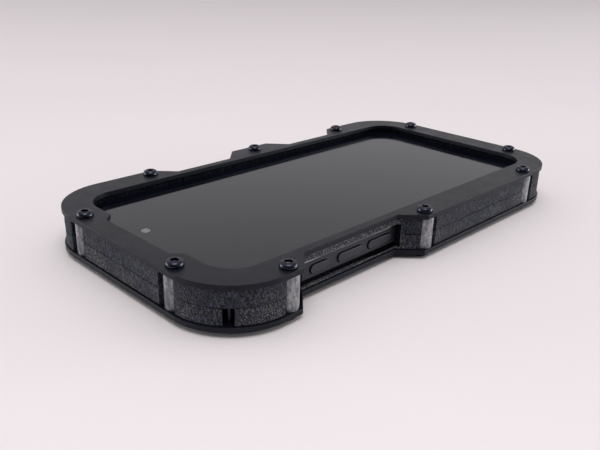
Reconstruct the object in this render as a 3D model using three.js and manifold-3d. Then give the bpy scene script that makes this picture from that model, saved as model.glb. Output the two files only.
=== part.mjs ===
// Rugged bolted phone case, closed around a plain generic device.
// Two black plates sandwich two dense foam sheets. Ten round standoffs sit in open slots of the
// foam, and every one takes a button-head screw from the front and another from the back.
// Millimetres. +X is the device's right, +Y its earpiece end and +Z comes out of its display.
// The origin is under the middle of the case, level with the tips of the rear screw heads.

import * as THREE from 'three';
import Module from 'manifold-3d';
import { mergeVertices } from 'three/addons/utils/BufferGeometryUtils.js';

// ---------------------------------------------------------------- driving dimensions

// Outline shared by the plates and the foam
const WIDTH = 88.0;
const LENGTH = 165.4;
const CORNER_R = 19.8;
const RECESS_DEPTH = 6.5;
const LEFT_RECESS = [[3.9, 56.6]];
const RIGHT_RECESSES = [[-46.6, -11.2], [6.0, 41.9]];

// Layers, from the floor up
const HEAD_H = 1.5;
const PLATE_T = 1.5;
const PLATE_CHAMFER = 0.2;
const FOAM_T = 5.0;
const FOAM_INSET = 0.5;
const REAR_PLATE_Z = HEAD_H;
const LOWER_FOAM_Z = REAR_PLATE_Z + PLATE_T;
const UPPER_FOAM_Z = LOWER_FOAM_Z + FOAM_T;
const FRONT_PLATE_Z = UPPER_FOAM_Z + FOAM_T;
const FRONT_TOP_Z = FRONT_PLATE_Z + PLATE_T;

// Window over the display, with the notch that clears the earpiece
const WINDOW_W = 69.4;
const WINDOW_L = 146.4;
const WINDOW_R = 9.5;
const NOTCH_HALF_W = 15.0;
const NOTCH_DEPTH = 3.0;
const LIP_SETBACK = 0.3;

// Fasteners
const SCREWS = [
  [21.6, 79.2], [-21.6, 79.2],
  [-40.8, 59.0], [-40.8, 1.5], [-40.8, -58.8],
  [-23.8, -79.2], [23.8, -79.2],
  [40.8, -49.0], [40.8, -2.6], [40.8, 44.3],
];
const HEAD_D = 5.0;
const SHANK_D = 2.4;
const SHANK_LEN = 5.0;
const SOCKET_AF = 2.0;
const SOCKET_DEPTH = 0.9;
const STANDOFF_D = 6.0;
const STANDOFF_BORE = 2.6;
const CLEARANCE_HOLE = 2.7;
const SLOT_HALF_W = 3.2;

// Lanyard slot in the corner at -X, +Y
const LANYARD_ANGLE = THREE.MathUtils.degToRad(136.7);
const LANYARD_SLOT_W = 3.0;
const LANYARD_POCKET_R = 2.4;
const LANYARD_POST_D = 1.6;
const LANYARD_POST_AT = 16.0;

// Device
const DEVICE_W = 71.5;
const DEVICE_L = 149.6;
const DEVICE_R = 12.5;
const DEVICE_BACK_Z = 3.4;
const DEVICE_FRONT_Z = 11.5;
const GLASS_T = 0.7;
const POCKET_GAP = 0.2;
const WINDOW_STRIP_TOP = 10.8;
const WINDOW_STRIP_BOTTOM = 3.9;
const WINDOW_OVERRUN = 1.4;

// Device buttons: [name, side, centre y, length]
const BUTTON_Z = 7.3;
const BUTTON_H = 2.6;
const BUTTON_PROUD = 0.45;
const BUTTON_T = 1.2;
const BUTTON_GAP = 0.12;
const BUTTON_FLOOR_GAP = 0.5;
const BUTTONS = [
  ['action_button', -1, 42.3, 7.2],
  ['volume_up_button', -1, 29.6, 10.6],
  ['volume_down_button', -1, 16.5, 10.6],
  ['side_button', 1, 24.0, 17.0],
  ['capture_button', 1, -28.9, 15.0],
];

// Rear camera block and the openings that clear it
const CAMERA_AT = [20.6, 50.6];
const CAMERA_W = 20.0;
const CAMERA_L = 38.0;
const CAMERA_R = 7.0;
const CAMERA_T = 1.4;
const CAMERA_CLEARANCE = 2.5;
const LENS_D = 14.0;
const LENS_T = 1.3;
const LENS_PITCH = 18.0;

// Bottom end: charging port and the way in through the foam
const PORT_W = 9.0;
const PORT_H = 3.2;
const PORT_DEPTH = 6.5;
const PORT_WAY_W = 32.0;
const PORT_WAY_LOW = 3.9;
const PORT_WAY_HIGH = 10.8;
const SPEAKER_HOLE_D = 1.5;
const SPEAKER_HOLE_X = [-18.5, -15.5, -12.5, 12.5, 15.5, 18.5];
const CUT = 1.0;

// ---------------------------------------------------------------- solid tools

const wasm = await Module();
wasm.setup();

function toManifold(geometry) {
  const bare = geometry.clone();
  bare.deleteAttribute('normal');
  bare.deleteAttribute('uv');
  const welded = mergeVertices(bare, 1e-5);
  const mesh = new wasm.Mesh({
    numProp: 3,
    vertProperties: new Float32Array(welded.attributes.position.array),
    triVerts: new Uint32Array(welded.index.array),
  });
  return new wasm.Manifold(mesh);
}

function toGeometry(solid) {
  const mesh = solid.getMesh();
  const geometry = new THREE.BufferGeometry();
  geometry.setAttribute('position', new THREE.BufferAttribute(new Float32Array(mesh.vertProperties), 3));
  geometry.setIndex(new THREE.BufferAttribute(new Uint32Array(mesh.triVerts), 1));
  geometry.computeVertexNormals();
  return geometry;
}

function subtract(geometry, cutters) {
  let solid = toManifold(geometry);
  for (const cutter of cutters) {
    solid = solid.subtract(toManifold(cutter));
  }
  return toGeometry(solid);
}

// ---------------------------------------------------------------- shape tools

function slab(shape, z, height, curveSegments = 8) {
  const geometry = new THREE.ExtrudeGeometry(shape, { depth: height, bevelEnabled: false, curveSegments });
  geometry.translate(0, 0, z);
  return geometry;
}

// A slab whose upper and lower edges are broken by a small chamfer inside the stated outline
function chamferedSlab(shape, z, height, chamfer, curveSegments = 8) {
  const geometry = new THREE.ExtrudeGeometry(shape, {
    depth: height - 2 * chamfer,
    bevelEnabled: true,
    bevelThickness: chamfer,
    bevelSize: chamfer,
    bevelOffset: -chamfer,
    bevelSegments: 1,
    curveSegments,
  });
  geometry.translate(0, 0, z + chamfer);
  return geometry;
}

function box(x0, x1, y0, y1, z0, z1) {
  const geometry = new THREE.BoxGeometry(x1 - x0, y1 - y0, z1 - z0);
  geometry.translate((x0 + x1) / 2, (y0 + y1) / 2, (z0 + z1) / 2);
  return geometry;
}

function post(x, y, z, radius, height, segments = 16) {
  const geometry = new THREE.CylinderGeometry(radius, radius, height, segments);
  geometry.rotateX(Math.PI / 2);
  geometry.translate(x, y, z + height / 2);
  return geometry;
}

function roundedRect(width, length, radius, cx = 0, cy = 0) {
  const w = width / 2;
  const l = length / 2;
  const shape = new THREE.Shape();
  shape.moveTo(cx + w, cy - l + radius);
  shape.lineTo(cx + w, cy + l - radius);
  shape.absarc(cx + w - radius, cy + l - radius, radius, 0, Math.PI / 2, false);
  shape.lineTo(cx - w + radius, cy + l);
  shape.absarc(cx - w + radius, cy + l - radius, radius, Math.PI / 2, Math.PI, false);
  shape.lineTo(cx - w, cy - l + radius);
  shape.absarc(cx - w + radius, cy - l + radius, radius, Math.PI, 1.5 * Math.PI, false);
  shape.lineTo(cx + w - radius, cy - l);
  shape.absarc(cx + w - radius, cy - l + radius, radius, 1.5 * Math.PI, 2 * Math.PI, false);
  return shape;
}

// The case outline, moved inward by the inset. The recesses have ends at 45 degrees, so an inset
// lengthens each of them by (sqrt(2) - 1) of itself at both ends.
function caseOutline(inset) {
  const w = WIDTH / 2 - inset;
  const l = LENGTH / 2 - inset;
  const r = CORNER_R - inset;
  const grow = inset * (Math.SQRT2 - 1);
  const shape = new THREE.Shape();
  shape.moveTo(w, -l + r);
  for (const [low, high] of RIGHT_RECESSES) {
    shape.lineTo(w, low - grow);
    shape.lineTo(w - RECESS_DEPTH, low - grow + RECESS_DEPTH);
    shape.lineTo(w - RECESS_DEPTH, high + grow - RECESS_DEPTH);
    shape.lineTo(w, high + grow);
  }
  shape.lineTo(w, l - r);
  shape.absarc(w - r, l - r, r, 0, Math.PI / 2, false);
  shape.lineTo(-w + r, l);
  shape.absarc(-w + r, l - r, r, Math.PI / 2, Math.PI, false);
  for (const [low, high] of LEFT_RECESS) {
    shape.lineTo(-w, high + grow);
    shape.lineTo(-w + RECESS_DEPTH, high + grow - RECESS_DEPTH);
    shape.lineTo(-w + RECESS_DEPTH, low - grow + RECESS_DEPTH);
    shape.lineTo(-w, low - grow);
  }
  shape.lineTo(-w, -l + r);
  shape.absarc(-w + r, -l + r, r, Math.PI, 1.5 * Math.PI, false);
  shape.lineTo(w - r, -l);
  shape.absarc(w - r, -l + r, r, 1.5 * Math.PI, 2 * Math.PI, false);
  return shape;
}

// The window with its earpiece notch, enlarged all round by the setback
function windowOutline(setback) {
  const w = WINDOW_W / 2 + setback;
  const l = WINDOW_L / 2 + setback;
  const r = WINDOW_R + setback;
  const notch = NOTCH_HALF_W + setback * (Math.SQRT2 - 1);
  const shape = new THREE.Shape();
  shape.moveTo(w, -l + r);
  shape.lineTo(w, l - r);
  shape.absarc(w - r, l - r, r, 0, Math.PI / 2, false);
  shape.lineTo(notch + NOTCH_DEPTH, l);
  shape.lineTo(notch, l + NOTCH_DEPTH);
  shape.lineTo(-notch, l + NOTCH_DEPTH);
  shape.lineTo(-notch - NOTCH_DEPTH, l);
  shape.lineTo(-w + r, l);
  shape.absarc(-w + r, l - r, r, Math.PI / 2, Math.PI, false);
  shape.lineTo(-w, -l + r);
  shape.absarc(-w + r, -l + r, r, Math.PI, 1.5 * Math.PI, false);
  shape.lineTo(w - r, -l);
  shape.absarc(w - r, -l + r, r, 1.5 * Math.PI, 2 * Math.PI, false);
  return shape;
}

// Direction from a screw to the nearest edge of the case
function outwardFrom([x, y]) {
  const atEnd = Math.abs(y) > 70;
  return atEnd ? Math.sign(y) * Math.PI / 2 : (x > 0 ? 0 : Math.PI);
}

// An open-ended slot: a half circle about the origin, running out along +X
function slotShape(halfWidth, reach) {
  const shape = new THREE.Shape();
  shape.moveTo(reach, -halfWidth);
  shape.lineTo(reach, halfWidth);
  shape.lineTo(0, halfWidth);
  shape.absarc(0, 0, halfWidth, Math.PI / 2, 1.5 * Math.PI, false);
  return shape;
}

function slotCutter(x, y, angle, halfWidth, reach, z, height) {
  const geometry = slab(slotShape(halfWidth, reach), z, height, 4);
  geometry.rotateZ(angle);
  geometry.translate(x, y, 0);
  return geometry;
}

// A pill standing on edge: its face looks along the side (+1 is +X), its length runs along Y
function pill(side, outerX, y, length, height, thickness) {
  const geometry = new THREE.ExtrudeGeometry(
    roundedRect(length, height, height / 2 - 0.001),
    { depth: thickness, bevelEnabled: false, curveSegments: 4 },
  );
  geometry.rotateX(Math.PI / 2);
  geometry.rotateZ(Math.PI / 2);
  const centred = side > 0 ? outerX - thickness : -outerX;
  geometry.translate(centred, y, BUTTON_Z);
  return geometry;
}

// ---------------------------------------------------------------- materials

const FINISHES = {
  plate: { color: 0x1a1a1c, roughness: 0.55, metalness: 0.6 },
  foam: { color: 0x26262a, roughness: 0.95, metalness: 0.0 },
  standoff: { color: 0xc4c6c9, roughness: 0.32, metalness: 1.0 },
  screw: { color: 0x17171c, roughness: 0.35, metalness: 0.8 },
  pin: { color: 0x202024, roughness: 0.35, metalness: 0.8 },
  deviceFrame: { color: 0x1d1d20, roughness: 0.4, metalness: 0.7 },
  deviceGlass: { color: 0x060608, roughness: 0.06, metalness: 0.0 },
  backGlass: { color: 0x1b1b1e, roughness: 0.45, metalness: 0.0 },
  lensGlass: { color: 0x0a0a10, roughness: 0.05, metalness: 0.0 },
  flash: { color: 0xe8e2c8, roughness: 0.3, metalness: 0.0 },
  tongue: { color: 0x2a2a2c, roughness: 0.5, metalness: 0.0 },
};

const group = new THREE.Group();
group.name = 'bolted_phone_case';

function addPiece(name, geometry, finish) {
  const mesh = new THREE.Mesh(geometry, new THREE.MeshStandardMaterial(FINISHES[finish]));
  mesh.name = name;
  group.add(mesh);
  return mesh;
}

// ---------------------------------------------------------------- plates

const screwHoles = (z) => SCREWS.map(
  ([x, y]) => post(x, y, z - CUT, CLEARANCE_HOLE / 2, PLATE_T + 2 * CUT, 10),
);

const frontPlate = subtract(
  chamferedSlab(caseOutline(0), FRONT_PLATE_Z, PLATE_T, PLATE_CHAMFER, 8),
  [slab(windowOutline(0), FRONT_PLATE_Z - CUT, PLATE_T + 2 * CUT, 6), ...screwHoles(FRONT_PLATE_Z)],
);
addPiece('front_plate', frontPlate, 'plate');

const cameraWindow = (grow, z, height) => slab(
  roundedRect(CAMERA_W + 2 * grow, CAMERA_L + 2 * grow, CAMERA_R + grow, CAMERA_AT[0], CAMERA_AT[1]),
  z,
  height,
  5,
);

const rearPlate = subtract(
  chamferedSlab(caseOutline(0), REAR_PLATE_Z, PLATE_T, PLATE_CHAMFER, 8),
  [cameraWindow(CAMERA_CLEARANCE, REAR_PLATE_Z - CUT, PLATE_T + 2 * CUT), ...screwHoles(REAR_PLATE_Z)],
);
addPiece('rear_plate', rearPlate, 'plate');

// ---------------------------------------------------------------- foam body

// Cuts that both sheets share: the slots of the standoffs, the windows behind the side recesses
// and the way in to the charging port
function sharedFoamCuts() {
  const cuts = [];
  for (const at of SCREWS) {
    const slotH = 2 * FOAM_T + 2 * CUT;
    cuts.push(slotCutter(at[0], at[1], outwardFrom(at), SLOT_HALF_W, 12, LOWER_FOAM_Z - CUT, slotH));
  }
  const inner = DEVICE_W / 2 - 3;
  for (const [low, high] of LEFT_RECESS) {
    const y0 = low + RECESS_DEPTH - WINDOW_OVERRUN;
    const y1 = high - RECESS_DEPTH + WINDOW_OVERRUN;
    cuts.push(box(-WIDTH / 2, -inner, y0, y1, WINDOW_STRIP_BOTTOM, WINDOW_STRIP_TOP));
  }
  for (const [low, high] of RIGHT_RECESSES) {
    const y0 = low + RECESS_DEPTH - WINDOW_OVERRUN;
    const y1 = high - RECESS_DEPTH + WINDOW_OVERRUN;
    cuts.push(box(inner, WIDTH / 2, y0, y1, WINDOW_STRIP_BOTTOM, WINDOW_STRIP_TOP));
  }
  cuts.push(box(
    -PORT_WAY_W / 2, PORT_WAY_W / 2,
    -LENGTH / 2 - CUT, -DEVICE_L / 2 + 3,
    PORT_WAY_LOW, PORT_WAY_HIGH,
  ));
  cuts.push(slab(
    roundedRect(DEVICE_W + 2 * POCKET_GAP, DEVICE_L + 2 * POCKET_GAP, DEVICE_R + POCKET_GAP),
    DEVICE_BACK_Z,
    DEVICE_FRONT_Z - DEVICE_BACK_Z,
    6,
  ));
  return cuts;
}

const upperFoam = subtract(
  slab(caseOutline(FOAM_INSET), UPPER_FOAM_Z, FOAM_T, 8),
  [...sharedFoamCuts(), slab(windowOutline(LIP_SETBACK), UPPER_FOAM_Z - CUT, FOAM_T + 2 * CUT, 6)],
);
addPiece('upper_foam', upperFoam, 'foam');

// The lanyard slot opens through the corner and widens around the post
const cornerCentre = [-WIDTH / 2 + CORNER_R, LENGTH / 2 - CORNER_R];
const lanyardPost = [
  cornerCentre[0] + LANYARD_POST_AT * Math.cos(LANYARD_ANGLE),
  cornerCentre[1] + LANYARD_POST_AT * Math.sin(LANYARD_ANGLE),
];
const lanyardSlot = slotCutter(
  lanyardPost[0], lanyardPost[1], LANYARD_ANGLE,
  LANYARD_SLOT_W / 2, 10, LOWER_FOAM_Z - CUT, FOAM_T + 2 * CUT,
);
const lanyardPocket = post(
  lanyardPost[0], lanyardPost[1], LOWER_FOAM_Z - CUT, LANYARD_POCKET_R, FOAM_T + 2 * CUT,
);

const lowerFoam = subtract(
  slab(caseOutline(FOAM_INSET), LOWER_FOAM_Z, FOAM_T, 8),
  [
    ...sharedFoamCuts(),
    cameraWindow(CAMERA_CLEARANCE + LIP_SETBACK, LOWER_FOAM_Z - CUT, 2 * CUT),
    lanyardSlot,
    lanyardPocket,
  ],
);
addPiece('lower_foam', lowerFoam, 'foam');

addPiece(
  'lanyard_post',
  post(lanyardPost[0], lanyardPost[1], LOWER_FOAM_Z, LANYARD_POST_D / 2, FOAM_T, 16),
  'pin',
);

// ---------------------------------------------------------------- standoffs and screws

// A tube from one plate to the other
function standoff() {
  const r = STANDOFF_D / 2;
  const bore = STANDOFF_BORE / 2;
  const height = 2 * FOAM_T;
  const profile = [
    new THREE.Vector2(bore, 0),
    new THREE.Vector2(r, 0),
    new THREE.Vector2(r, height),
    new THREE.Vector2(bore, height),
    new THREE.Vector2(bore, 0),
  ];
  const geometry = new THREE.LatheGeometry(profile, 16);
  geometry.rotateX(Math.PI / 2);
  return toGeometry(toManifold(geometry));
}

// A button-head screw with its head up: the underside of the head is at z = 0
function buttonScrew() {
  const r = HEAD_D / 2;
  const profile = [
    new THREE.Vector2(0, -SHANK_LEN),
    new THREE.Vector2(SHANK_D / 2, -SHANK_LEN),
    new THREE.Vector2(SHANK_D / 2, 0),
    new THREE.Vector2(r, 0),
    new THREE.Vector2(r * 0.96, HEAD_H * 0.35),
    new THREE.Vector2(r * 0.78, HEAD_H * 0.78),
    new THREE.Vector2(r * 0.48, HEAD_H),
    new THREE.Vector2(0, HEAD_H),
  ];
  const body = new THREE.LatheGeometry(profile, 14);
  body.rotateX(Math.PI / 2);
  const socket = new THREE.CylinderGeometry(
    SOCKET_AF / Math.sqrt(3), SOCKET_AF / Math.sqrt(3), SOCKET_DEPTH + CUT, 6,
  );
  socket.rotateX(Math.PI / 2);
  socket.translate(0, 0, HEAD_H + CUT - (SOCKET_DEPTH + CUT) / 2);
  return subtract(body, [socket]);
}

const standoffGeometry = standoff();
const screwGeometry = buttonScrew();
SCREWS.forEach(([x, y], index) => {
  const number = index + 1;
  addPiece(`standoff_${number}`, standoffGeometry.clone().translate(x, y, LOWER_FOAM_Z), 'standoff');
  const front = screwGeometry.clone();
  front.rotateZ(index * 0.7);
  front.translate(x, y, FRONT_TOP_Z);
  addPiece(`front_screw_${number}`, front, 'screw');
  const rear = screwGeometry.clone();
  rear.rotateZ(index * 1.1);
  rear.rotateX(Math.PI);
  rear.translate(x, y, REAR_PLATE_Z);
  addPiece(`rear_screw_${number}`, rear, 'screw');
});

// ---------------------------------------------------------------- device

const frameZ = DEVICE_BACK_Z + GLASS_T;
const frameH = DEVICE_FRONT_Z - DEVICE_BACK_Z - 2 * GLASS_T;
const bottomY = -DEVICE_L / 2;

const buttonPockets = BUTTONS.map(([, side, y, length]) => {
  const depth = BUTTON_T - BUTTON_PROUD + BUTTON_FLOOR_GAP;
  return pill(side, DEVICE_W / 2 + CUT, y, length + 2 * BUTTON_GAP, BUTTON_H + 2 * BUTTON_GAP, depth + CUT);
});

const portShape = roundedRect(PORT_W, PORT_H, PORT_H / 2 - 0.001);
const portPocket = new THREE.ExtrudeGeometry(
  portShape,
  { depth: PORT_DEPTH + CUT, bevelEnabled: false, curveSegments: 4 },
);
portPocket.rotateX(Math.PI / 2);
portPocket.translate(0, bottomY + PORT_DEPTH, BUTTON_Z);

const speakerHoles = SPEAKER_HOLE_X.map((x) => {
  const hole = new THREE.CylinderGeometry(SPEAKER_HOLE_D / 2, SPEAKER_HOLE_D / 2, 3, 8);
  hole.translate(x, bottomY + 0.5, BUTTON_Z);
  return hole;
});

const deviceFrame = subtract(
  chamferedSlab(roundedRect(DEVICE_W, DEVICE_L, DEVICE_R), frameZ, frameH, 0.3, 6),
  [...buttonPockets, portPocket, ...speakerHoles],
);
addPiece('device_frame', deviceFrame, 'deviceFrame');

// Display glass, with the seats of the front camera and the earpiece grille
const GLASS_REVEAL = 0.3;
const FRONT_LENS_AT = [7.3, 68.6];
const FRONT_LENS_D = 2.8;
const SEAT_DEPTH = 0.3;
const GRILLE_W = 12.0;
const GRILLE_L = 0.8;
const GRILLE_Y = 73.3;
const lensSeat = post(
  FRONT_LENS_AT[0], FRONT_LENS_AT[1], DEVICE_FRONT_Z - SEAT_DEPTH, FRONT_LENS_D / 2 + 0.1, SEAT_DEPTH + CUT,
);
const grilleSeat = slab(
  roundedRect(GRILLE_W + 0.2, GRILLE_L + 0.2, 0.45, 0, GRILLE_Y),
  DEVICE_FRONT_Z - SEAT_DEPTH, SEAT_DEPTH + CUT, 3,
);
const glassOutline = roundedRect(
  DEVICE_W - 2 * GLASS_REVEAL,
  DEVICE_L - 2 * GLASS_REVEAL,
  DEVICE_R - GLASS_REVEAL,
);
const displayGlass = subtract(
  chamferedSlab(glassOutline, DEVICE_FRONT_Z - GLASS_T, GLASS_T, 0.2, 6),
  [lensSeat, grilleSeat],
);
addPiece('display_glass', displayGlass, 'deviceGlass');
addPiece(
  'front_camera_lens',
  post(FRONT_LENS_AT[0], FRONT_LENS_AT[1], DEVICE_FRONT_Z - SEAT_DEPTH, FRONT_LENS_D / 2, SEAT_DEPTH),
  'lensGlass',
);
addPiece(
  'earpiece_grille',
  slab(roundedRect(GRILLE_W, GRILLE_L, 0.35, 0, GRILLE_Y), DEVICE_FRONT_Z - SEAT_DEPTH, SEAT_DEPTH, 3),
  'tongue',
);
addPiece('back_glass', chamferedSlab(glassOutline, DEVICE_BACK_Z, GLASS_T, 0.2, 6), 'backGlass');

// Buttons, each free in its pocket with a gap all round
for (const [name, side, y, length] of BUTTONS) {
  addPiece(name, pill(side, DEVICE_W / 2 + BUTTON_PROUD, y, length, BUTTON_H, BUTTON_T), 'deviceFrame');
}

// Rear camera block: a raised plateau with two lenses in line and a flash between them
const plateauZ = DEVICE_BACK_Z - CAMERA_T;
addPiece(
  'camera_plateau',
  slab(roundedRect(CAMERA_W, CAMERA_L, CAMERA_R, CAMERA_AT[0], CAMERA_AT[1]), plateauZ, CAMERA_T, 5),
  'backGlass',
);
const rearLenses = [['rear_lens_upper', 1], ['rear_lens_lower', -1]];
for (const [name, way] of rearLenses) {
  const profile = [
    new THREE.Vector2(0, 0.35),
    new THREE.Vector2(LENS_D / 2 - 1.6, 0.35),
    new THREE.Vector2(LENS_D / 2 - 1.2, 0),
    new THREE.Vector2(LENS_D / 2 - 0.3, 0),
    new THREE.Vector2(LENS_D / 2, 0.3),
    new THREE.Vector2(LENS_D / 2, LENS_T),
    new THREE.Vector2(0, LENS_T),
  ];
  const lens = new THREE.LatheGeometry(profile, 20);
  lens.rotateX(Math.PI / 2);
  lens.translate(CAMERA_AT[0], CAMERA_AT[1] + way * LENS_PITCH / 2, plateauZ - LENS_T);
  addPiece(name, toGeometry(toManifold(lens)), 'lensGlass');
}
addPiece('flash_lens', post(CAMERA_AT[0] + 7.4, CAMERA_AT[1], plateauZ - 0.3, 1.6, 0.3, 14), 'flash');

// Contact tongue standing in the charging port
addPiece(
  'port_tongue',
  box(-3.3, 3.3, bottomY + 1.0, bottomY + PORT_DEPTH, BUTTON_Z - 0.35, BUTTON_Z + 0.35),
  'tongue',
);

export default group;
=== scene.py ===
# Rugged bolted phone case, closed around a plain generic device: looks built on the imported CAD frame.
import math

import bmesh
import bpy
from mathutils import Matrix, Vector, noise


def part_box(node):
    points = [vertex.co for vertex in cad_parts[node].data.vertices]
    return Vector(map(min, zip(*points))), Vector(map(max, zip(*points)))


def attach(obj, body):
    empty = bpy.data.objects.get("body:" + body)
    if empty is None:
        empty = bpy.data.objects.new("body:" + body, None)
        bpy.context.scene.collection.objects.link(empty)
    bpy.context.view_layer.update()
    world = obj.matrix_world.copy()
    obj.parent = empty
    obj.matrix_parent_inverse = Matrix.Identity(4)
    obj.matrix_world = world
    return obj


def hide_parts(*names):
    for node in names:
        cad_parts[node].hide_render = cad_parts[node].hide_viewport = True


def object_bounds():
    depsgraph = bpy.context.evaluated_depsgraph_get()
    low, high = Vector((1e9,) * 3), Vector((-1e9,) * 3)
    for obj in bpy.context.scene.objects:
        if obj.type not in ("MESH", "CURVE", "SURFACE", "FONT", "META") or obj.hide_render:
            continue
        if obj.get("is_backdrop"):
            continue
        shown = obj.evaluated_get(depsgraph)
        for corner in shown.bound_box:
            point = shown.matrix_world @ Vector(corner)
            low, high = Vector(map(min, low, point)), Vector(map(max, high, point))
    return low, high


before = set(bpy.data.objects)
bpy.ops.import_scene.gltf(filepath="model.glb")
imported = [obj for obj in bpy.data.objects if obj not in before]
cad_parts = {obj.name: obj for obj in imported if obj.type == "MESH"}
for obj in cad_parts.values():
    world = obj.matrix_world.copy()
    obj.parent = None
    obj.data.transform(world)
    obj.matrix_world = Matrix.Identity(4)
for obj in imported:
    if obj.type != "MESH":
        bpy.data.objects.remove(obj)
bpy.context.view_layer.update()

MM = 0.001
ROOT = "case_with_device"
scene = bpy.context.scene


# ---------------------------------------------------------------- dimensions in mm, read from the frame
def corners(node):
    low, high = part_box(node)
    return low / MM, high / MM


def size(node):
    low, high = corners(node)
    return high - low


def middle(node):
    low, high = corners(node)
    return (low + high) / 2


case_low, case_high = corners("front_plate")
WIDTH, LENGTH = case_high.x - case_low.x, case_high.y - case_low.y
FRONT_Z, TOP_Z = case_low.z, case_high.z
REAR_Z, LOWER_Z = (corner.z for corner in corners("rear_plate"))
UPPER_Z = corners("upper_foam")[0].z

SCREWS = [tuple(middle(f"standoff_{number}").xy) for number in range(1, 11)]
HEAD_D, STANDOFF_D = size("front_screw_1").x, size("standoff_1").x
HEAD_H, SHANK_LEN = corners("front_screw_1")[1].z - TOP_Z, TOP_Z - corners("front_screw_1")[0].z

DEVICE_W, DEVICE_L = size("device_frame").x, size("device_frame").y
BACK_Z, GLASS_FRONT_Z = corners("back_glass")[0].z, corners("display_glass")[1].z
GLASS_T = size("back_glass").z
BUTTON_NAMES = ["action_button", "volume_up_button", "volume_down_button", "side_button", "capture_button"]
BUTTONS = [(name, math.copysign(1, middle(name).x), middle(name).y, size(name).y) for name in BUTTON_NAMES]
BUTTON_Z, BUTTON_H, BUTTON_T = middle("side_button").z, size("side_button").z, size("side_button").x
BUTTON_PROUD = corners("side_button")[1].x - DEVICE_W / 2
CAMERA_AT = tuple(middle("camera_plateau").xy)
CAMERA_W, CAMERA_L, CAMERA_T = size("camera_plateau")
LENS_D, LENS_T = size("rear_lens_upper").x, size("rear_lens_upper").z
FRONT_LENS_AT, FRONT_LENS_D = tuple(middle("front_camera_lens").xy), size("front_camera_lens").x
SEAT_DEPTH = size("front_camera_lens").z

# radii, cuts and clearances, which a box can't give
CORNER_R = 19.8
RECESS_DEPTH = 6.5
LEFT_RECESS = [(3.9, 56.6)]
RIGHT_RECESSES = [(-46.6, -11.2), (6.0, 41.9)]
FOAM_INSET = (WIDTH - size("upper_foam").x) / 2
WINDOW_W, WINDOW_L, WINDOW_R = 69.4, 146.4, 9.5
NOTCH_HALF_W, NOTCH_DEPTH, LIP_SETBACK = 15.0, 3.0, 0.3
SOCKET_AF, SOCKET_DEPTH, SHANK_D, STANDOFF_BORE, SLOT_HALF_W = 2.0, 0.9, 2.4, 2.6, 3.2
CLEARANCE_HOLE, WINDOW_OVERRUN = 2.7, 1.4
DEVICE_R, CAMERA_R, CAMERA_CLEARANCE, POCKET_GAP, GLASS_REVEAL = 12.5, 7.0, 2.5, 0.2, 0.3
BUTTON_GAP, BUTTON_FLOOR_GAP = 0.20, 0.5
LANYARD_ANGLE, LANYARD_POST_AT, LANYARD_SLOT_W, LANYARD_POCKET_R = math.radians(136.7), 16.0, 3.0, 2.4
GRILLE_W, GRILLE_L, GRILLE_Y = 12.0, 0.8, 73.3
PORT_W, PORT_H, PORT_DEPTH = 9.0, 3.2, 6.5
PORT_WAY_W, PORT_WAY_HIGH = 32, 10.8
SPEAKER_HOLE_D, SPEAKER_HOLE_X = 1.5, (-18.5, -15.5, -12.5, 12.5, 15.5, 18.5)
TONGUE_W, TONGUE_L, TONGUE_T, TONGUE_INSET = 6.6, 5.5, 0.7, 3.75
PIN_R, FLASH_R, FLASH_T = 0.8, 1.6, 0.3

# how far cutters reach: outward past the case, below the foam, and above the part they cut
SLOT_REACH, LANYARD_REACH = 12, 10
CUT_LOW, CUT_HIGH, CAMERA_WAY_TOP, LANYARD_WAY_TOP = 2.0, 14.0, 4.0, 9.0

# rounded rims, and the step between points along an outline
PLATE_ROUND, UPPER_FOAM_ROUND, LOWER_FOAM_ROUND, DEVICE_ROUND = 0.14, 0.20, 0.30, 0.8
BUTTON_ROUND, GLASS_ROUND, CAMERA_ROUND = 0.22, 0.28, 0.35
FOAM_STEP, DEVICE_STEP = 0.7, 1.3
UPPER_TEAR, LOWER_TEAR, DEEPEST_TEAR = 0.11, 0.15, 0.42


# ---------------------------------------------------------------- outlines, as lists of (x, y) in mm
def arc(cx, cy, r, start, end, steps):
    turns = [start + (end - start) * i / steps for i in range(steps + 1)]
    return [(cx + r * math.cos(math.radians(t)), cy + r * math.sin(math.radians(t))) for t in turns]


def circle(cx, cy, r, steps=48):
    return arc(cx, cy, r, 0, 360, steps)[:-1]


def rounded_rect(width, length, r, cx=0.0, cy=0.0, steps=16):
    w, l = width / 2 - r, length / 2 - r
    points = []
    for sx, sy, start in ((1, 1, 0), (-1, 1, 90), (-1, -1, 180), (1, -1, 270)):
        points += arc(cx + sx * w, cy + sy * l, r, start, start + 90, steps)
    return points


def case_outline(inset, steps=40):
    w, l, r = WIDTH / 2 - inset, LENGTH / 2 - inset, CORNER_R - inset
    grow = inset * (math.sqrt(2) - 1)
    points = arc(w - r, -l + r, r, 270, 360, steps)
    for low, high in RIGHT_RECESSES:
        points += [(w, low - grow), (w - RECESS_DEPTH, low - grow + RECESS_DEPTH)]
        points += [(w - RECESS_DEPTH, high + grow - RECESS_DEPTH), (w, high + grow)]
    points += arc(w - r, l - r, r, 0, 90, steps) + arc(-w + r, l - r, r, 90, 180, steps)
    for low, high in LEFT_RECESS:
        points += [(-w, high + grow), (-w + RECESS_DEPTH, high + grow - RECESS_DEPTH)]
        points += [(-w + RECESS_DEPTH, low - grow + RECESS_DEPTH), (-w, low - grow)]
    return points + arc(-w + r, -l + r, r, 180, 270, steps)


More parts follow.
